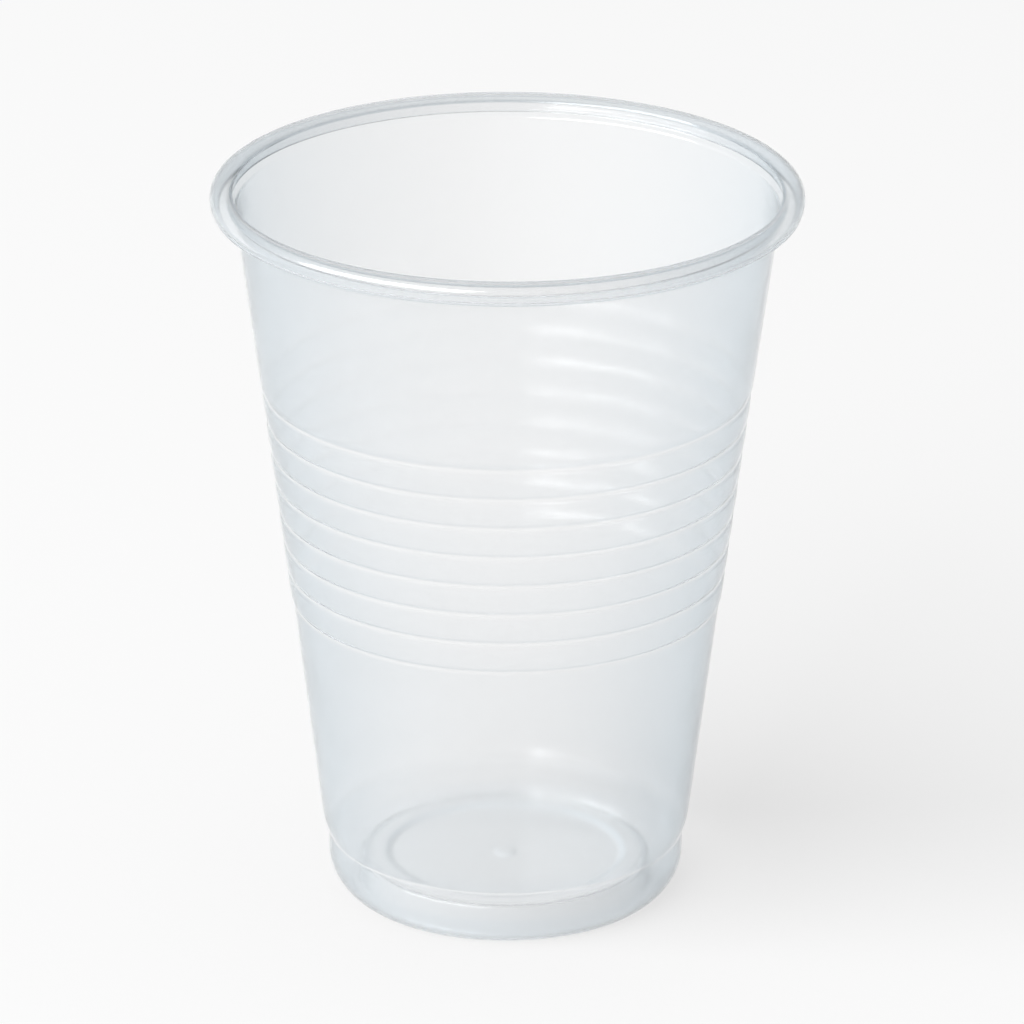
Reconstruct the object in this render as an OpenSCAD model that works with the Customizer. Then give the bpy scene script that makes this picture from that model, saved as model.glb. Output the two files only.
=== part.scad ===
// Disposable drinking cup, one thermoformed sheet of clear plastic.
// Origin at the centre of the foot ring, on the surface it stands on, +Z up, sizes in millimetres.
// The section is drawn as one mould line, from the centre of the floor out and up to the edge
// of the curled rim. Each of its points is [radius, height, wall], and the sheet lies on the
// side of the line that faces the drink.

/* [Overall] */
// Height of the whole cup
cup_h = 89.2; // [85:0.1:100]
// Outer diameter of the curled rim
rim_d = 70.3; // [68:0.1:76]

/* [Rim] */
// Height and width of the round top of the curl
bead_d = 2.8; // [2.4:0.1:3.6]
// Thickness of the sheet in the curl
rim_wall = 0.4; // [0.3:0.02:0.6]
// How far the curl is rolled down on its outside before its lower lip, in degrees
bead_sweep = 20; // [5:1:35]
// Set-back of the lower lip behind the round top of the curl
lip_inset = 0.1; // [0.04:0.01:0.2]
// Height of the upright stretch of the lower lip
lip_h = 0.2; // [0.1:0.05:0.6]
// Outer radius of the lower lip where it turns in under the curl
lip_r = 0.7; // [0.62:0.02:0.9]
// How far the edge of the sheet is turned in past the bottom of the curl, in degrees
lip_turn = 35; // [10:5:60]
// Lean from upright at which the round top ends on the side of the drink, in degrees
neck_turn = 30; // [10:5:45]
// Outer radius of the bend from there into the collar
neck_r = 0.1; // [0.05:0.05:0.3]
// Height of the plain collar between the curl and the shoulder
collar_h = 1.05; // [0.4:0.05:2]
// Width of the shoulder under the collar, on the outside
shoulder_w = 0.61; // [0.4:0.01:0.8]
// Lean of the shoulder from upright, in degrees
shoulder_turn = 50; // [35:5:65]
// Outer radius of the bends at both ends of the shoulder
shoulder_r = 0.35; // [0.3:0.05:0.6]

/* [Side wall] */
// Thickness of the sheet in the side wall
side_wall = 0.25; // [0.2:0.01:0.3]
// Lean of the plain upper wall from upright, in degrees
upper_lean = 7.8; // [6.5:0.1:8.5]
// Height of the topmost crease above the table
top_crease_z = 64.1; // [60:0.1:68]
// Lean at which the sheet leaves the topmost crease upwards, in degrees
top_turn = 30; // [20:1:38]
// Outer radius of the rounding from there into the plain upper wall
top_round_r = 2.8; // [1.5:0.1:5]
// Number of grip bands
bands = 7; // [3:1:8]
// Height of one grip band
band_h = 3.81; // [3:0.05:4]
// Depth by which each grip band ends inside the one above it
band_step = 0.483; // [0.35:0.01:0.55]
// Outer radius of the bend in each crease
crease_r = 0.45; // [0.3:0.05:0.7]
// Angle to which a grip band turns away from its middle beside a crease, in degrees
band_turn = 27; // [15:1:32]
// Outer radius of the roundings at both ends of a grip band
band_end_r = 1.1; // [0.5:0.1:1.5]
// Angle through which each half of a band's middle stretch bows, in degrees
band_bow = 4; // [2:0.5:6]

/* [Base] */
// Outer diameter at the crease above the base band
base_d = 42.7; // [40:0.1:45]
// Height of the crease above the base band
base_crease_z = 7.34; // [6.6:0.1:9]
// Lean at which the sheet leaves that crease upwards, in degrees
base_turn = 25; // [15:1:35]
// Outer radius of the rounding from there into the plain lower wall
base_round_r = 9; // [5:0.5:14]
// Radius of the heel between the base band and the foot ring
heel_r = 5.8; // [5.2:0.1:6.4]
// How far the circle that the foot ring stands on lies inside the base band
foot_in = 3.25; // [2.6:0.05:4.2]
// Width of the flat land under the foot ring
foot_land = 0.3; // [0.2:0.05:0.6]
// Outer radius on both sides of that land
foot_r = 0.7; // [0.55:0.05:0.9]

/* [Floor] */
// Thickness of the sheet in the floor
floor_wall = 0.34; // [0.24:0.02:0.5]
// Height of the top of the raised floor above the table
floor_z = 4.1; // [3:0.1:5]
// Draft of the wall inside the foot ring, in degrees
foot_draft = 3; // [1:0.5:10]
// Inner radius of the floor's edge where it turns down into the foot ring
floor_edge_r = 0.25; // [0.15:0.05:0.5]
// Width of the flat shelf between the floor's edge and the sunk disc
shelf_w = 2.3; // [1:0.1:4]
// Depth of the sunk disc
disc_drop = 0.4; // [0.2:0.05:0.8]
// Width of the sloping ring round the disc
disc_slope_w = 1.3; // [0.8:0.1:2]
// Diameter of the flat top of the small pip at the centre
pip_d = 1.5; // [0.6:0.1:4]
// Width of the slope round the pip
pip_slope_w = 0.7; // [0.4:0.1:2]
// Height of the pip
pip_h = 0.3; // [0.1:0.05:0.5]

/* [Hidden] */
sheet_colour = [0.87, 0.91, 0.94, 0.45];
turn_fn = 180;
// Farthest that a chord lies from the arc it stands for, and the least length of a chord
arc_gap = 0.007;
least_chord = 0.001;
soft_n = 6;

// Number of chords in an arc of radius r over an angle
function chords(r, sweep) = ceil(abs(sweep) / (2 * acos(1 - arc_gap / r)));

// Points on an arc about c, at angles from a0 to a1; wall is the sheet that the arc carries outside
function arc_line(c, r, a0, a1, wall = 0) =
    let (n = chords(r + wall, a1 - a0))
    [for (i = [0:n]) let (a = a0 + (a1 - a0) * i / n) c + r * [cos(a), sin(a)]];

// Where a bend ends beside its start, for a line that goes up and turns from one lean to another.
// Its radius r is below zero where the sheet bulges outwards.
function bend_offset(r, lean, new_lean) =
    r * [cos(lean) - cos(new_lean), sin(new_lean) - sin(lean)];

// Points on bends that follow each other. Each turn is [radius, first lean, last lean].
function bends(start, turns, i = 0) =
    i == len(turns) ? [start] :
    let (r = turns[i][0], lean = turns[i][1], sweep = turns[i][2] - lean, n = chords(abs(r), sweep))
    concat(
        [for (k = [0:n - 1]) start + bend_offset(r, lean, lean + sweep * k / n)],
        bends(start + bend_offset(r, lean, lean + sweep), turns, i + 1)
    );

// Points along one grip band, from the crease under it to the crease over it
function band_line(p, q) =
    let (lean = atan2(q.x - p.x, q.y - p.y),
         ends = crease_r * sin(band_turn) + band_end_r * (sin(band_turn) - sin(band_bow)),
         middle_r = (norm(q - p) / 2 - ends) / sin(band_bow))
    bends(p, [
        [crease_r, lean, lean + band_turn],
        [-band_end_r, lean + band_turn, lean + band_bow],
        [-middle_r, lean + band_bow, lean - band_bow],
        [-band_end_r, lean - band_bow, lean - band_turn],
        [crease_r, lean - band_turn, lean]
    ]);

// Points on a soft step from p to q, level at both ends
function soft_step(p, q) =
    [for (i = [0:soft_n])
        [p.x + (q.x - p.x) * i / soft_n, p.y + (q.y - p.y) * (1 - cos(180 * i / soft_n)) / 2]];

// Rim: the round top of the curl, and the collar under its inner side
bead_r = bead_d / 2;
bead_c = [rim_d / 2 - bead_r, cup_h - bead_r];
curl_in = bead_r - rim_wall;
neck = bead_c + curl_in * [-cos(neck_turn), sin(neck_turn)] - bend_offset(neck_r, 0, neck_turn);
collar = neck - [0, collar_h];

// Shoulder, from the plain upper wall up to the collar
low_turn = bend_offset(shoulder_r, upper_lean, shoulder_turn);
high_turn = bend_offset(-shoulder_r, shoulder_turn, 0);
slope_w = shoulder_w - low_turn.x - high_turn.x;
slope = [slope_w, slope_w / tan(shoulder_turn)];
upper_top = collar - high_turn - slope - low_turn;

// Creases: the topmost one lies where the rounding over it runs into the plain upper wall
band_lean = atan2(band_step, band_h);
top_rise = bend_offset(crease_r, band_lean, top_turn) + bend_offset(-top_round_r, top_turn, upper_lean);
upper_run = (upper_top.y - top_crease_z - top_rise.y) * tan(upper_lean);
top_crease = [upper_top.x - upper_run - top_rise.x, top_crease_z];
creases = [for (i = [0:bands]) top_crease - (bands - i) * [band_step, band_h]];

// Base: the plain lower wall is tangent to the rounding and ends in the lowest crease
base_crease = [base_d / 2, base_crease_z];
base_round_c = base_crease + bend_offset(crease_r, 0, base_turn)
    - base_round_r * [cos(base_turn), -sin(base_turn)];
reach = creases[0] - base_round_c;
lower_lean = acos(base_round_r / norm(reach)) - atan2(reach.y, reach.x);

// Foot ring: the heel is tangent to the base band and to the edge of the foot ring
foot_out_c = [base_crease.x - foot_in + foot_land / 2, foot_r];
foot_in_c = [base_crease.x - foot_in - foot_land / 2, foot_r];
heel_c_r = base_crease.x - heel_r;
heel_sweep = acos((foot_out_c.x - heel_c_r) / (heel_r - foot_r));
heel_c = [heel_c_r, foot_r + (heel_r - foot_r) * sin(heel_sweep)];

// Floor, on the side that faces the table
floor_under = floor_z - floor_wall;
disc_under = floor_under - disc_drop;
floor_corner = [
    foot_in_c.x - foot_r / cos(foot_draft) - (floor_under - foot_r) * tan(foot_draft),
    floor_under
];
edge_c = [
    floor_corner.x - floor_edge_r * tan((90 + foot_draft) / 2),
    floor_under - floor_edge_r
];
shelf_in_r = floor_corner.x - shelf_w;
disc_r = shelf_in_r - disc_slope_w;

// Gives each point of a line the wall there, which goes from t0 to t1 along it
function with_wall(line, t0, t1) =
    [for (i = [0:len(line) - 1]) [line[i].x, line[i].y, t0 + (t1 - t0) * i / (len(line) - 1)]];

// Leaves out each point that repeats the one before it
function distinct(line) =
    [for (i = [0:len(line) - 1])
        if (i == 0 || norm([line[i].x - line[i - 1].x, line[i].y - line[i - 1].y]) > least_chord)
            line[i]];

floor_line = concat(
    [[0, disc_under + pip_h]],
    soft_step([pip_d / 2, disc_under + pip_h], [pip_d / 2 + pip_slope_w, disc_under]),
    soft_step([disc_r, disc_under], [shelf_in_r, floor_under]),
    arc_line(edge_c, floor_edge_r, 90, foot_draft, floor_wall)
);
foot_line = concat(
    arc_line(foot_in_c, foot_r, 180 + foot_draft, 270),
    arc_line(foot_out_c, foot_r, 270, 360 - heel_sweep),
    arc_line(heel_c, heel_r, 360 - heel_sweep, 360)
);
side_line = concat(
    bends(base_crease, [[crease_r, 0, base_turn], [-base_round_r, base_turn, lower_lean]]),
    [for (i = [0:bands - 1]) each band_line(creases[i], creases[i + 1])],
    bends(top_crease, [[crease_r, band_lean, top_turn], [-top_round_r, top_turn, upper_lean]]),
    bends(upper_top, [[shoulder_r, upper_lean, shoulder_turn]]),
    bends(upper_top + low_turn + slope, [[-shoulder_r, shoulder_turn, 0]])
);

// The curl: a round top, then a lower lip set back a little, turned in under it
lip_in = lip_r - rim_wall;
lip_top = bead_c + (bead_r - lip_inset) * [cos(-bead_sweep), sin(-bead_sweep)];
lip_c = [lip_top.x - lip_r, lip_top.y - lip_h];
curl_line = concat(
    arc_line(neck + [neck_r, 0], neck_r, 180, 180 - neck_turn, rim_wall),
    arc_line(bead_c, curl_in, 180 - neck_turn, 90, rim_wall),
    arc_line(bead_c, curl_in, 90, 0, rim_wall),
    arc_line(bead_c, curl_in, 0, -bead_sweep, rim_wall),
    arc_line(lip_c, lip_in, 0, -90 - lip_turn, rim_wall)
);

mould_line = distinct(concat(
    with_wall(floor_line, floor_wall, floor_wall),
    with_wall(foot_line, floor_wall, side_wall),
    with_wall(side_line, side_wall, side_wall),
    with_wall(curl_line, rim_wall, rim_wall)
));

// Left-hand normal of the stretch that ends at point i, and of the one that starts there
function left_of(p, q) = let (d = [q.x - p.x, q.y - p.y]) [-d.y, d.x] / norm(d);
function drink_side(line) =
    let (last = len(line) - 1)
    [for (i = [0:last])
        let (before = left_of(line[max(i, 1) - 1], line[max(i, 1)]),
             after = left_of(line[min(i, last - 1)], line[min(i, last - 1) + 1]),
             mid = (before + after) / norm(before + after))
        [line[i].x, line[i].y] + mid * line[i].z];

function reversed(line) = [for (i = [len(line) - 1:-1:0]) line[i]];

module cup_section() {
    mould_side = [for (p = mould_line) [p.x, p.y]];
    polygon(concat(mould_side, reversed(drink_side(mould_line))));
}

module cup() {
    color(sheet_colour)
    rotate_extrude($fn = turn_fn)
    cup_section();
}

cup();
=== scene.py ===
"""A disposable drinking cup: one thin thermoformed sheet of translucent plastic, on a pale studio floor.

Lengths of the cup are in millimetres, as in the part's source, and become metres when a mesh is made.
"""

import math

import bpy
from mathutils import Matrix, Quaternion, Vector


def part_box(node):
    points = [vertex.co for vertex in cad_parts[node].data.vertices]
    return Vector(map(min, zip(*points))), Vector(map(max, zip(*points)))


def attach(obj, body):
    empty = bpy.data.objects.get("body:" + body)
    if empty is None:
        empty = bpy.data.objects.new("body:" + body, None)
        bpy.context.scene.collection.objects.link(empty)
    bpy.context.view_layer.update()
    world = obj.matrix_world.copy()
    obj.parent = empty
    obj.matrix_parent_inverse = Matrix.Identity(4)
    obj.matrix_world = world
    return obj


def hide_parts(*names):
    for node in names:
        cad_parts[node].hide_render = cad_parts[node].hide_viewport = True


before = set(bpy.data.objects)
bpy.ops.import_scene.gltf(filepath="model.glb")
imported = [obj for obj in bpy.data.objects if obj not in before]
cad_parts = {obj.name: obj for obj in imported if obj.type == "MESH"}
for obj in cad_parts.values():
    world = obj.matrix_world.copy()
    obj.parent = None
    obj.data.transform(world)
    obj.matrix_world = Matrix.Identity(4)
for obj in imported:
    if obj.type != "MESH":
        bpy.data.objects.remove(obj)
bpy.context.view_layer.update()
MM = 0.001
rim_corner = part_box("cup")[1]

# Overall, from the frame
cup_h = rim_corner.z / MM
rim_d = 2 * rim_corner.x / MM

# Rim: a curl with a round top and a lower lip
bead_d = 2.8
rim_wall = 0.4
bead_sweep = 20
lip_inset = 0.1
lip_h = 0.2
lip_r = 0.7
lip_turn = 35
neck_turn = 30
neck_r = 0.1
collar_h = 1.05
shoulder_w = 0.61
shoulder_turn = 50
shoulder_r = 0.35

# Side wall: a plain upper stretch, the grip bands and a plain lower stretch
side_wall = 0.25
upper_lean = 7.8
top_crease_z = 64.1
top_turn = 30
top_round_r = 2.8
bands = 7
band_h = 3.81
band_step = 0.483
band_turn = 27
band_bow = 4
band_end_r = 1.1
crease_r = 0.45

# Base: the band under the heel crease, the heel and the foot ring
base_d = 42.7
base_crease_z = 7.34
base_turn = 25
base_round_r = 9
heel_r = 5.8
foot_in = 3.25
foot_land = 0.3
foot_r = 0.7

# Floor: raised inside the foot ring, with a sunk disc and a pip
floor_wall = 0.34
floor_z = 4.1
foot_draft = 3
floor_edge_r = 0.25
shelf_w = 2.3
disc_drop = 0.4
disc_slope_w = 1.3
pip_d = 1.5
pip_slope_w = 0.7
pip_h = 0.3

# Fineness of the mesh. An arc's chords lie at most ARC_GAP inside it. A chord under LEAST_CHORD is left
# out, and one over LONG_CHORD gets a point HOLD from each end, which keeps the bends beside it smooth.
ARC_GAP = 0.0028
SOFT_N = 10
TURNS = 180
LEAST_CHORD = 0.004
LONG_CHORD = 0.6
HOLD = 0.06
SHARP_EDGE = 35

# Gloss: smooth plastic, a little uneven from the way the hot sheet was drawn. The ripple's depth is in metres.
IOR = 1.5
FLOW_SCALE = 140
FLOW_RANGE = (0.3, 0.7)
ROUGHNESS = (0.08, 0.13)
RIPPLE = 0.1
RIPPLE_DEPTH = 0.0003

# Clouding: the share of light that goes through the clear sheet, and how cloudy it is where it is bent,
# where it is seen edge on, and on the floor. A bend or an edge as white as TINT_GONE has no tint left.
CLEAR = 0.93
CREASE_W = 0.45
CREASE_WHITE = 0.05
HEEL_W = 0.2
HEEL_WHITE = 0.1
EDGE_BLEND = 0.35
EDGE_ZONE = (0.78, 0.88)
EDGE_WHITE = 0.35
FLOOR_HAZE = 0.6
TINT_GONE = 0.05

# Tint: from the sheet seen flat on to the sheet seen along itself, and the painted shade of a tight neck
FLAT_COLOUR = (0.94, 0.943, 0.946, 1)
DEEP_COLOUR = (0.65, 0.755, 0.825, 1)
NECK_SHADE_COLOUR = (0.34, 0.41, 0.46, 1)
FLOOR_TINT = 0.4
# Painted shade: how far the bottom of the foot ring is darkened towards the deep colour
GUTTER_SHADE = 0.22
# Painted shade in rings on the floor's sloped steps
SLOPE_SHADE = 0.55
NECK_SHADE = 0.7
NECK_SHADE_LEFT = 0.2

# Where the zones of the material start and end, in height or in radius
GUTTER_ZONE = (3.4, 4.4)
FLOOR_ZONE = (16.0, 16.8)
FOOT_WALL_ZONE = (16.5, 17.5)
NECK_Z = cup_h - 0.75
NECK_BELOW = (NECK_Z - 0.2, NECK_Z)
NECK_ABOVE = (NECK_Z, NECK_Z + 0.5)
NECK_ZONE = (32.8, 33.1)

# Rings of painted shade on the floor's sloped steps: the radius in the middle, and the half width
DISC_RING = (14.2, 0.6 * disc_slope_w)
PIP_RING = (pip_d / 2 + 0.6 * pip_slope_w, 0.35)

# Light that a lamp sends through one side of the sheet, on the wall and at the foot
SHADE = 0.905
FOOT_SHADE = 0.97
FOOT_ZONE = (7, 10)

# Studio: how bright the room is for the floor, for reflections, and behind the cup. The floor is in metres.
ROOM = 0.39
MIRRORED_ROOM = 0.75
BACKDROP = 0.93
FLOOR_COLOUR = (0.93, 0.93, 0.93, 1)
FLOOR_HALF = 4

# Camera, in metres and degrees: a long lens, a little above the rim, rolled by the photo's small tilt
VIEW_DISTANCE = 1.14285
VIEW_PITCH = 21.30
VIEW_ROLL = 0.19
VIEW_TARGET = Vector((0.00066, 0, 0.0478))
SENSOR_W = 36
LENS = 336.4
CLIP = (0.05, 20)


def point(x, z):
    return Vector((x, z))


def polar(r, degrees):
    a = math.radians(degrees)
    return point(r * math.cos(a), r * math.sin(a))


def chords(r, sweep):
    """Number of chords in an arc of radius r over an angle in degrees."""
    return max(1, math.ceil(math.radians(abs(sweep)) / (2 * math.acos(1 - ARC_GAP / r))))


def arc(centre, r, start, end, wall=0):
    """Points on an arc. wall is the sheet that the arc carries on its outside."""
    n = chords(r + wall, end - start)
    return [centre + polar(r, start + (end - start) * i / n) for i in range(n + 1)]


def bend(start, r, lean, new_lean):
    """Points on an arc that goes up from start and turns from one lean to another.

    A lean is in degrees from upright.
    """
    n = chords(r, new_lean - lean)
    side = 1 if new_lean > lean else -1
    return [start + bend_offset(r * side, lean, lean + (new_lean - lean) * i / n) for i in range(n + 1)]


def bend_offset(r, lean, new_lean):
    """Where a bend ends beside its start. r is below zero where the sheet bulges out."""
    a, b = math.radians(lean), math.radians(new_lean)
    return point(math.cos(a) - math.cos(b), math.sin(b) - math.sin(a)) * r


def bends(start, *turns):
    """Points along bends that follow each other. Each turn is a radius, a first and a last lean."""
    line = [start]
    for r, lean, new_lean in turns:
        line += bend(line[-1], r, lean, new_lean)[1:]
    return line


def band_line(p, q):
    """Points along one grip band, from the crease under it to the crease over it."""
    span = q - p
    lean = math.degrees(math.atan2(span.x, span.y))
    turn, bow = math.radians(band_turn), math.radians(band_bow)
    ends = crease_r * math.sin(turn) + band_end_r * (math.sin(turn) - math.sin(bow))
    middle_r = (span.length / 2 - ends) / math.sin(bow)
    return bends(
        p,
        (crease_r, lean, lean + band_turn),
        (band_end_r, lean + band_turn, lean + band_bow),
        (middle_r, lean + band_bow, lean - band_bow),
        (band_end_r, lean - band_bow, lean - band_turn),
        (crease_r, lean - band_turn, lean),
    )


def soft_step(p, q):
    """Points on a soft step from p to q, level at both ends."""
    shares = [i / SOFT_N for i in range(SOFT_N + 1)]
    return [
        point(p.x + (q.x - p.x) * s, p.y + (q.y - p.y) * (1 - math.cos(math.pi * s)) / 2)
        for s in shares
    ]


def with_wall(line, start, end):
    last = len(line) - 1
    return [(p, start + (end - start) * i / last) for i, p in enumerate(line)]


def mould_line():
    """The side of the sheet that faces the mould, with the wall at each point.

    It goes from the centre of the floor to the curl's edge.
    """
    base_crease = point(base_d / 2, base_crease_z)
    foot_out = point(base_crease.x - foot_in + foot_land / 2, foot_r)
    foot_inner = point(base_crease.x - foot_in - foot_land / 2, foot_r)
    floor_under = floor_z - floor_wall
    disc_under = floor_under - disc_drop
    draft = math.radians(foot_draft)
    floor_corner = point(
        foot_inner.x - foot_r / math.cos(draft) - (floor_under - foot_r) * math.tan(draft),
        floor_under,
    )
    edge_inset = floor_edge_r * math.tan(math.radians(90 + foot_draft) / 2)
    edge_c = floor_corner - point(edge_inset, floor_edge_r)
    shelf_in_r = floor_corner.x - shelf_w
    disc_r = shelf_in_r - disc_slope_w
    pip_r = pip_d / 2
    floor_line = (
        [point(0, disc_under + pip_h)]
        + soft_step(point(pip_r, disc_under + pip_h), point(pip_r + pip_slope_w, disc_under))
        + soft_step(point(disc_r, disc_under), point(shelf_in_r, floor_under))
        + arc(edge_c, floor_edge_r, 90, foot_draft, floor_wall)
    )

    heel_c_r = base_crease.x - heel_r
    heel_sweep = math.degrees(math.acos((foot_out.x - heel_c_r) / (heel_r - foot_r)))
    heel_c = point(heel_c_r, foot_r + (heel_r - foot_r) * math.sin(math.radians(heel_sweep)))
    foot_line = (
        arc(foot_inner, foot_r, 180 + foot_draft, 270)
        + arc(foot_out, foot_r, 270, 360 - heel_sweep)
        + arc(heel_c, heel_r, 360 - heel_sweep, 360)
    )

    bead_r = bead_d / 2
    bead_c = point(rim_d / 2 - bead_r, cup_h - bead_r)
    curl_in = bead_r - rim_wall
    neck = bead_c + polar(curl_in, 180 - neck_turn) - bend_offset(neck_r, 0, neck_turn)
    collar = neck - point(0, collar_h)
    lower_turn = bend_offset(shoulder_r, upper_lean, shoulder_turn)
    upper_turn = bend_offset(-shoulder_r, shoulder_turn, 0)
    slope = math.radians(shoulder_turn)
    slope_w = shoulder_w - lower_turn.x - upper_turn.x
    ledge = point(slope_w, slope_w / math.tan(slope))
    upper_top = collar - upper_turn - ledge - lower_turn
    shoulder_line = bends(upper_top, (shoulder_r, upper_lean, shoulder_turn))
    shoulder_line += bends(shoulder_line[-1] + ledge, (shoulder_r, shoulder_turn, 0))

    band_lean = math.degrees(math.atan2(band_step, band_h))
    top_offset = bend_offset(crease_r, band_lean, top_turn)
    top_offset += bend_offset(-top_round_r, top_turn, upper_lean)
    run = (upper_top.y - top_crease_z - top_offset.y) * math.tan(math.radians(upper_lean))
    top_crease = point(upper_top.x - run - top_offset.x, top_crease_z)
    top_line = bends(
        top_crease, (crease_r, band_lean, top_turn), (top_round_r, top_turn, upper_lean)
    )
    creases = [top_crease - point(band_step, band_h) * (bands - i) for i in range(bands + 1)]

    crease_end = base_crease + bend_offset(crease_r, 0, base_turn)
    round_c = crease_end - polar(base_round_r, -base_turn)
    reach = creases[0] - round_c
    lower_lean = math.degrees(
        math.acos(base_round_r / reach.length) - math.atan2(reach.y, reach.x)
    )
    base_line = bends(base_crease, (crease_r, 0, base_turn), (base_round_r, base_turn, lower_lean))
    side_line = (
        base_line
        + [p for a, b in zip(creases, creases[1:]) for p in band_line(a, b)]
        + top_line
        + shoulder_line
    )

    lip_top = bead_c + polar(bead_r - lip_inset, -bead_sweep)
    lip_c = lip_top - point(lip_r, lip_h)
    curl_line = (
        arc(neck + point(neck_r, 0), neck_r, 180, 180 - neck_turn, rim_wall)
        + arc(bead_c, curl_in, 180 - neck_turn, 90, rim_wall)
        + arc(bead_c, curl_in, 90, 0, rim_wall)
        + arc(bead_c, curl_in, 0, -bead_sweep, rim_wall)
        + arc(lip_c, lip_r - rim_wall, 0, -90 - lip_turn, rim_wall)
    )
    line = (
        with_wall(floor_line, floor_wall, floor_wall)
        + with_wall(foot_line, floor_wall, side_wall)
        + with_wall(side_line, side_wall, side_wall)
        + with_wall(curl_line, rim_wall, rim_wall)
    )
    kept = [line[0]]
    for p, wall in line[1:]:
        before, thick = kept[-1]
        length = (p - before).length
        if length > LONG_CHORD:
            share = HOLD / length
            kept += [
                (before.lerp(p, s), thick + (wall - thick) * s) for s in (share, 1 - share)
            ]
        if length > LEAST_CHORD:
            kept.append((p, wall))
    return kept


def left_of(p, q):
    d = (q - p).normalized()
    return point(-d.y, d.x)


def cup_section():
    """The outline of the sheet, from the axis along the mould side and back along the drink side."""
    line = mould_line()
    points = [p for p, _ in line]
    last = len(points) - 1
    drink_side = []
    for i, (p, wall) in enumerate(line):
        before = left_of(points[max(i, 1) - 1], points[max(i, 1)])
        after = left_of(points[min(i, last - 1)], points[min(i, last - 1) + 1])
        drink_side.append(p + (before + after).normalized() * wall)
    return points + drink_side[::-1]


def turned(name, section):
    """A mesh object made by turning a section about Z. Its first and last points are on the axis."""
    ring = section[1:-1]
    angles = [2 * math.pi * k / TURNS for k in range(TURNS)]
    vertices = [
        (p.x * math.cos(a) * MM, p.x * math.sin(a) * MM, p.y * MM) for a in angles for p in ring
    ]
    vertices += [(0, 0, section[0].y * MM), (0, 0, section[-1].y * MM)]
    under, over = len(vertices) - 2, len(vertices) - 1
    n = len(ring)
    faces = []
    for k in range(TURNS):
        here, there = k * n, (k + 1) % TURNS * n
        faces.append((under, there, here))
        faces += [(here + i, there + i, there + i + 1, here + i + 1) for i in range(n - 1)]
        faces.append((over, here + n - 1, there + n - 1))
    mesh = bpy.data.meshes.new(name)
    mesh.from_pydata(vertices, [], faces)
    mesh.shade_smooth()
    mesh.set_sharp_from_angle(angle=math.radians(SHARP_EDGE))
    mesh.validate()
    piece = bpy.data.objects.new(name, mesh)
    bpy.context.scene.collection.objects.link(piece)
    return piece


def new_material(name):
    material = bpy.data.materials.new(name)
    material.use_nodes = True
    material.node_tree.nodes.clear()
    return material, material.node_tree


def math_node(tree, operation, *values):
    """The output of a Math node. Each value is a socket or a number."""
    node = tree.nodes.new("ShaderNodeMath")
    node.operation = operation
    for socket, value in zip(node.inputs, values):
        if isinstance(value, (int, float)):
            socket.default_value = value
        else:
            tree.links.new(value, socket)
    return node.outputs["Value"]


def most(tree, first, *others):
    for other in others:
        first = math_node(tree, "MAXIMUM", first, other)
    return first


def fade(tree, value, start, end, from_level, to_level):
    """A smooth change from one level to another while value goes from start to end."""
    node = tree.nodes.new("ShaderNodeMapRange")
    node.interpolation_type = "SMOOTHSTEP"
    node.inputs["From Min"].default_value = start
    node.inputs["From Max"].default_value = end
    node.inputs["To Min"].default_value = from_level
    node.inputs["To Max"].default_value = to_level
    tree.links.new(value, node.inputs["Value"])
    return node.outputs["Result"]


def peak(tree, value, place, half_w, level):
    """A level that is reached at one place and is gone a half width away from it."""
    gap = math_node(tree, "ABSOLUTE", math_node(tree, "SUBTRACT", value, place))
    return fade(tree, gap, 0, half_w, level, 0)


def mixed_colour(tree, share, first, second):
    """The output of a Mix node from first, a colour or a socket, to the colour second."""
    node = tree.nodes.new("ShaderNodeMix")
    node.data_type = "RGBA"
    if isinstance(first, tuple):
        node.inputs["A"].default_value = first
    else:
        tree.links.new(first, node.inputs["A"])
    node.inputs["B"].default_value = second
    tree.links.new(share, node.inputs["Factor"])
    return node.outputs["Result"]


def place_in_mm(tree, place):
    """The height above the table and the distance from the axis, in millimetres."""
    parts = tree.nodes.new("ShaderNodeSeparateXYZ")
    tree.links.new(place, parts.inputs["Vector"])
    level = tree.nodes.new("ShaderNodeVectorMath")
    level.operation = "MULTIPLY"
    level.inputs[1].default_value = (1, 1, 0)
    tree.links.new(place, level.inputs[0])
    length = tree.nodes.new("ShaderNodeVectorMath")
    length.operation = "LENGTH"
    tree.links.new(level.outputs["Vector"], length.inputs[0])
    height = math_node(tree, "DIVIDE", parts.outputs["Z"], MM)
    return height, math_node(tree, "DIVIDE", length.outputs["Value"], MM)


def whitening(tree, height):
    """How white the sheet is where it is bent tightly: at each crease of the bands, and at the heel."""
    below_top = math_node(tree, "SUBTRACT", height, top_crease_z)
    steps = math_node(tree, "DIVIDE", below_top, -band_h)
    least = math_node(tree, "MAXIMUM", steps, 0)
    nearest = math_node(tree, "ROUND", math_node(tree, "MINIMUM", least, bands))
    creases = peak(tree, steps, nearest, CREASE_W / band_h, CREASE_WHITE)
    return most(tree, creases, peak(tree, height, base_crease_z, HEEL_W, HEEL_WHITE))


def neck_shade(tree, height, radius):
    """Painted shade along the tight crease between the collar and the curl: how dark it is."""
    below = fade(tree, height, *NECK_BELOW, 0, NECK_SHADE)
    above = fade(tree, height, *NECK_ABOVE, 1, NECK_SHADE_LEFT)
    inside = fade(tree, radius, *NECK_ZONE, 1, 0)
    return math_node(tree, "MULTIPLY", math_node(tree, "MULTIPLY", below, above), inside)


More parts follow.
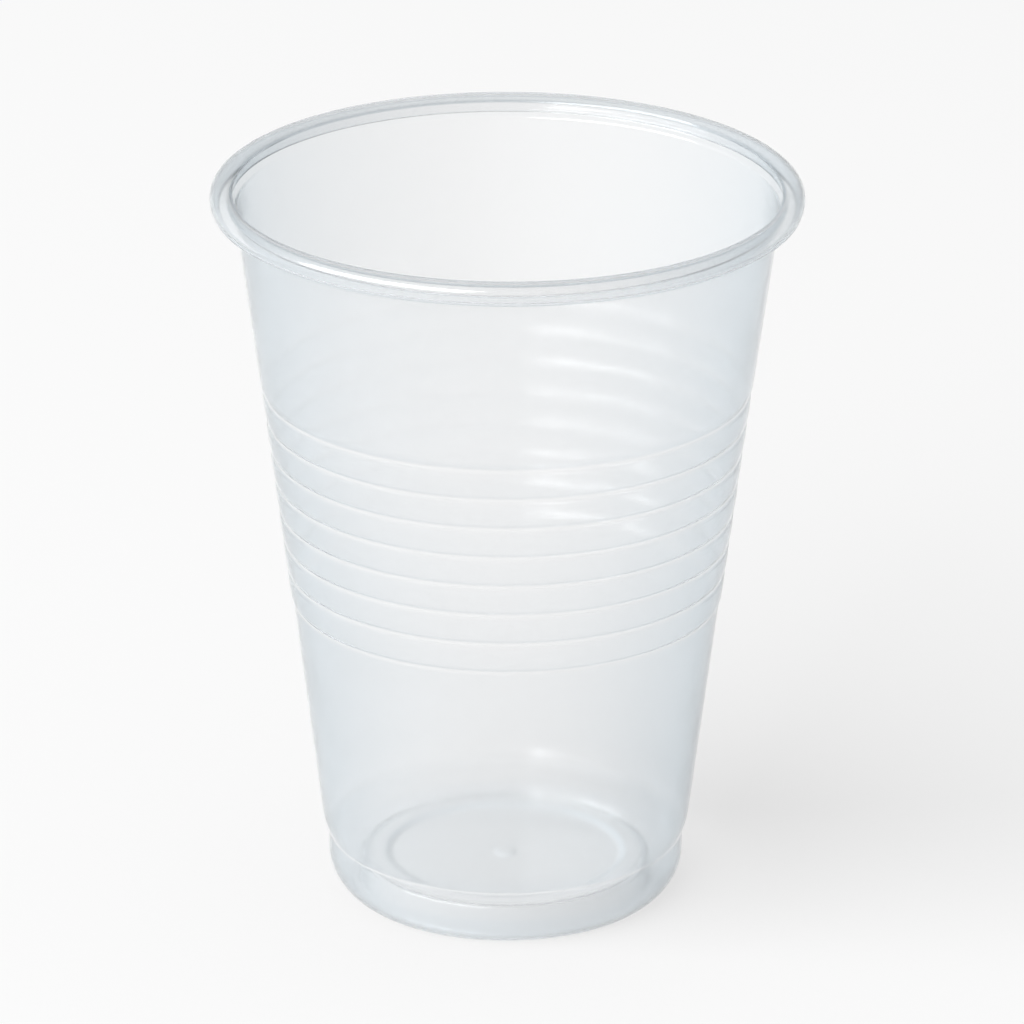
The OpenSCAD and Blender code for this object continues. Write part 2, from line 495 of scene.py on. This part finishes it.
def sheet_material():
    material, tree = new_material("translucent_sheet")
    nodes, links = tree.nodes, tree.links
    sheet = nodes.new("ShaderNodeBsdfPrincipled")
    sheet.inputs["IOR"].default_value = IOR
    place = nodes.new("ShaderNodeTexCoord").outputs["Object"]
    height, radius = place_in_mm(tree, place)
    on_floor = fade(tree, radius, *FLOOR_ZONE, 1, 0)
    edge = nodes.new("ShaderNodeLayerWeight")
    edge.inputs["Blend"].default_value = EDGE_BLEND
    facing = edge.outputs["Facing"]

    # An uneven gloss
    flow = nodes.new("ShaderNodeTexNoise")
    flow.inputs["Scale"].default_value = FLOW_SCALE
    links.new(place, flow.inputs["Vector"])
    roughness = fade(tree, flow.outputs["Fac"], *FLOW_RANGE, *ROUGHNESS)
    links.new(roughness, sheet.inputs["Roughness"])
    ripple = nodes.new("ShaderNodeBump")
    ripple.inputs["Strength"].default_value = RIPPLE
    ripple.inputs["Distance"].default_value = RIPPLE_DEPTH
    links.new(flow.outputs["Fac"], ripple.inputs["Height"])
    links.new(ripple.outputs["Normal"], sheet.inputs["Normal"])

    # Clouding, most in the creases and on the floor
    edge_white = fade(tree, facing, *EDGE_ZONE, 0, EDGE_WHITE)
    floor_haze = math_node(tree, "MULTIPLY", on_floor, FLOOR_HAZE)
    bent_white = most(tree, whitening(tree, height), edge_white)
    cloud = most(tree, bent_white, floor_haze)
    clear = math_node(tree, "MULTIPLY_ADD", cloud, -CLEAR, CLEAR)
    links.new(clear, sheet.inputs["Transmission Weight"])

    # Tint, deeper where the sheet is seen along itself, plus painted shade in the same deep colour at the
    # bottom of the foot ring and in rings on the floor's sloped steps
    less_on_floor = fade(tree, radius, *FOOT_WALL_ZONE, FLOOR_TINT, 1)
    less_where_white = fade(tree, bent_white, 0, TINT_GONE, 1, 0)
    side_tint = math_node(tree, "MULTIPLY", facing, less_on_floor)
    side_tint = math_node(tree, "MULTIPLY", side_tint, less_where_white)
    # Painted shade: the bottom of the foot ring is darkened, as if in shade
    gutter_shade = fade(tree, height, *GUTTER_ZONE, GUTTER_SHADE, 0)
    slope_shade = most(
        tree, peak(tree, radius, *DISC_RING, SLOPE_SHADE), peak(tree, radius, *PIP_RING, SLOPE_SHADE)
    )
    slope_shade = math_node(tree, "MULTIPLY", slope_shade, on_floor)
    tint = mixed_colour(tree, most(tree, side_tint, gutter_shade, slope_shade), FLAT_COLOUR, DEEP_COLOUR)
    # Painted shade: a dark line along the neck crease on the drink side
    tint_and_painted_shade = mixed_colour(tree, neck_shade(tree, height, radius), tint, NECK_SHADE_COLOUR)
    links.new(tint_and_painted_shade, sheet.inputs["Base Color"])

    # Lamps reach the floor through the sheet, a little dimmed
    see = nodes.new("ShaderNodeBsdfTransparent")
    links.new(fade(tree, height, *FOOT_ZONE, FOOT_SHADE, SHADE), see.inputs["Color"])
    path = nodes.new("ShaderNodeLightPath")
    shader = sheet.outputs["BSDF"]
    for ray in ("Is Diffuse Ray", "Is Shadow Ray"):
        mix = nodes.new("ShaderNodeMixShader")
        links.new(path.outputs[ray], mix.inputs["Fac"])
        links.new(shader, mix.inputs[1])
        links.new(see.outputs["BSDF"], mix.inputs[2])
        shader = mix.outputs["Shader"]
    links.new(shader, nodes.new("ShaderNodeOutputMaterial").inputs["Surface"])
    return material


def floor_material():
    material, tree = new_material("pale_floor")
    paper = tree.nodes.new("ShaderNodeBsdfDiffuse")
    paper.inputs["Color"].default_value = FLOOR_COLOUR
    out = tree.nodes.new("ShaderNodeOutputMaterial")
    tree.links.new(paper.outputs["BSDF"], out.inputs["Surface"])
    return material


def add_floor():
    corners = [(x * FLOOR_HALF, y * FLOOR_HALF, 0) for x, y in ((-1, -1), (1, -1), (1, 1), (-1, 1))]
    mesh = bpy.data.meshes.new("floor")
    mesh.from_pydata(corners, [], [(0, 1, 2, 3)])
    mesh.materials.append(floor_material())
    floor = bpy.data.objects.new("floor", mesh)
    bpy.context.scene.collection.objects.link(floor)


def add_world():
    world = bpy.data.worlds.new("studio")
    bpy.context.scene.world = world
    world.use_nodes = True
    tree = world.node_tree
    tree.nodes.clear()
    studio = tree.nodes.new("ShaderNodeBackground")
    studio.inputs["Color"].default_value = (1, 1, 1, 1)
    path = tree.nodes.new("ShaderNodeLightPath").outputs
    through = most(tree, path["Is Glossy Ray"], path["Is Transmission Ray"])
    mirrored = math_node(tree, "MULTIPLY", through, MIRRORED_ROOM)
    backdrop = math_node(tree, "MULTIPLY", path["Is Camera Ray"], BACKDROP)
    tree.links.new(most(tree, mirrored, backdrop, ROOM), studio.inputs["Strength"])
    out = tree.nodes.new("ShaderNodeOutputWorld")
    tree.links.new(studio.outputs["Background"], out.inputs["Surface"])


def add_softbox(name, azimuth, elevation, distance, size, power):
    """An area lamp that faces the cup, at an azimuth from the camera's side towards +X."""
    a, e = math.radians(azimuth), math.radians(elevation)
    way = Vector((math.sin(a) * math.cos(e), -math.cos(a) * math.cos(e), math.sin(e)))
    lamp = bpy.data.lights.new(name, "AREA")
    lamp.shape = "RECTANGLE"
    lamp.size, lamp.size_y = size
    lamp.energy = power
    box = bpy.data.objects.new(name, lamp)
    box.location = way * distance + Vector((0, 0, cup_h * MM / 2))
    box.rotation_mode = "QUATERNION"
    box.rotation_quaternion = way.to_track_quat("Z", "Y")
    bpy.context.scene.collection.objects.link(box)


def add_camera():
    data = bpy.data.cameras.new("camera")
    data.sensor_width = SENSOR_W
    data.lens = LENS
    data.clip_start, data.clip_end = CLIP
    camera = bpy.data.objects.new("camera", data)
    pitch = math.radians(VIEW_PITCH)
    camera.location = VIEW_TARGET + Vector((0, -math.cos(pitch), math.sin(pitch))) * VIEW_DISTANCE
    camera.rotation_mode = "QUATERNION"
    look = (VIEW_TARGET - camera.location).to_track_quat("-Z", "Y")
    camera.rotation_quaternion = look @ Quaternion((0, 0, 1), math.radians(VIEW_ROLL))
    bpy.context.scene.collection.objects.link(camera)
    bpy.context.scene.camera = camera


cup = turned("cup_sheet", cup_section())
cup.data.materials.append(sheet_material())
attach(cup, "root")
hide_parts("cup")

add_floor()
add_world()
add_softbox("key", azimuth=-52, elevation=35, distance=9, size=(11.7, 4.5), power=1180)
add_camera()
bpy.context.scene.view_settings.view_transform = "Standard"
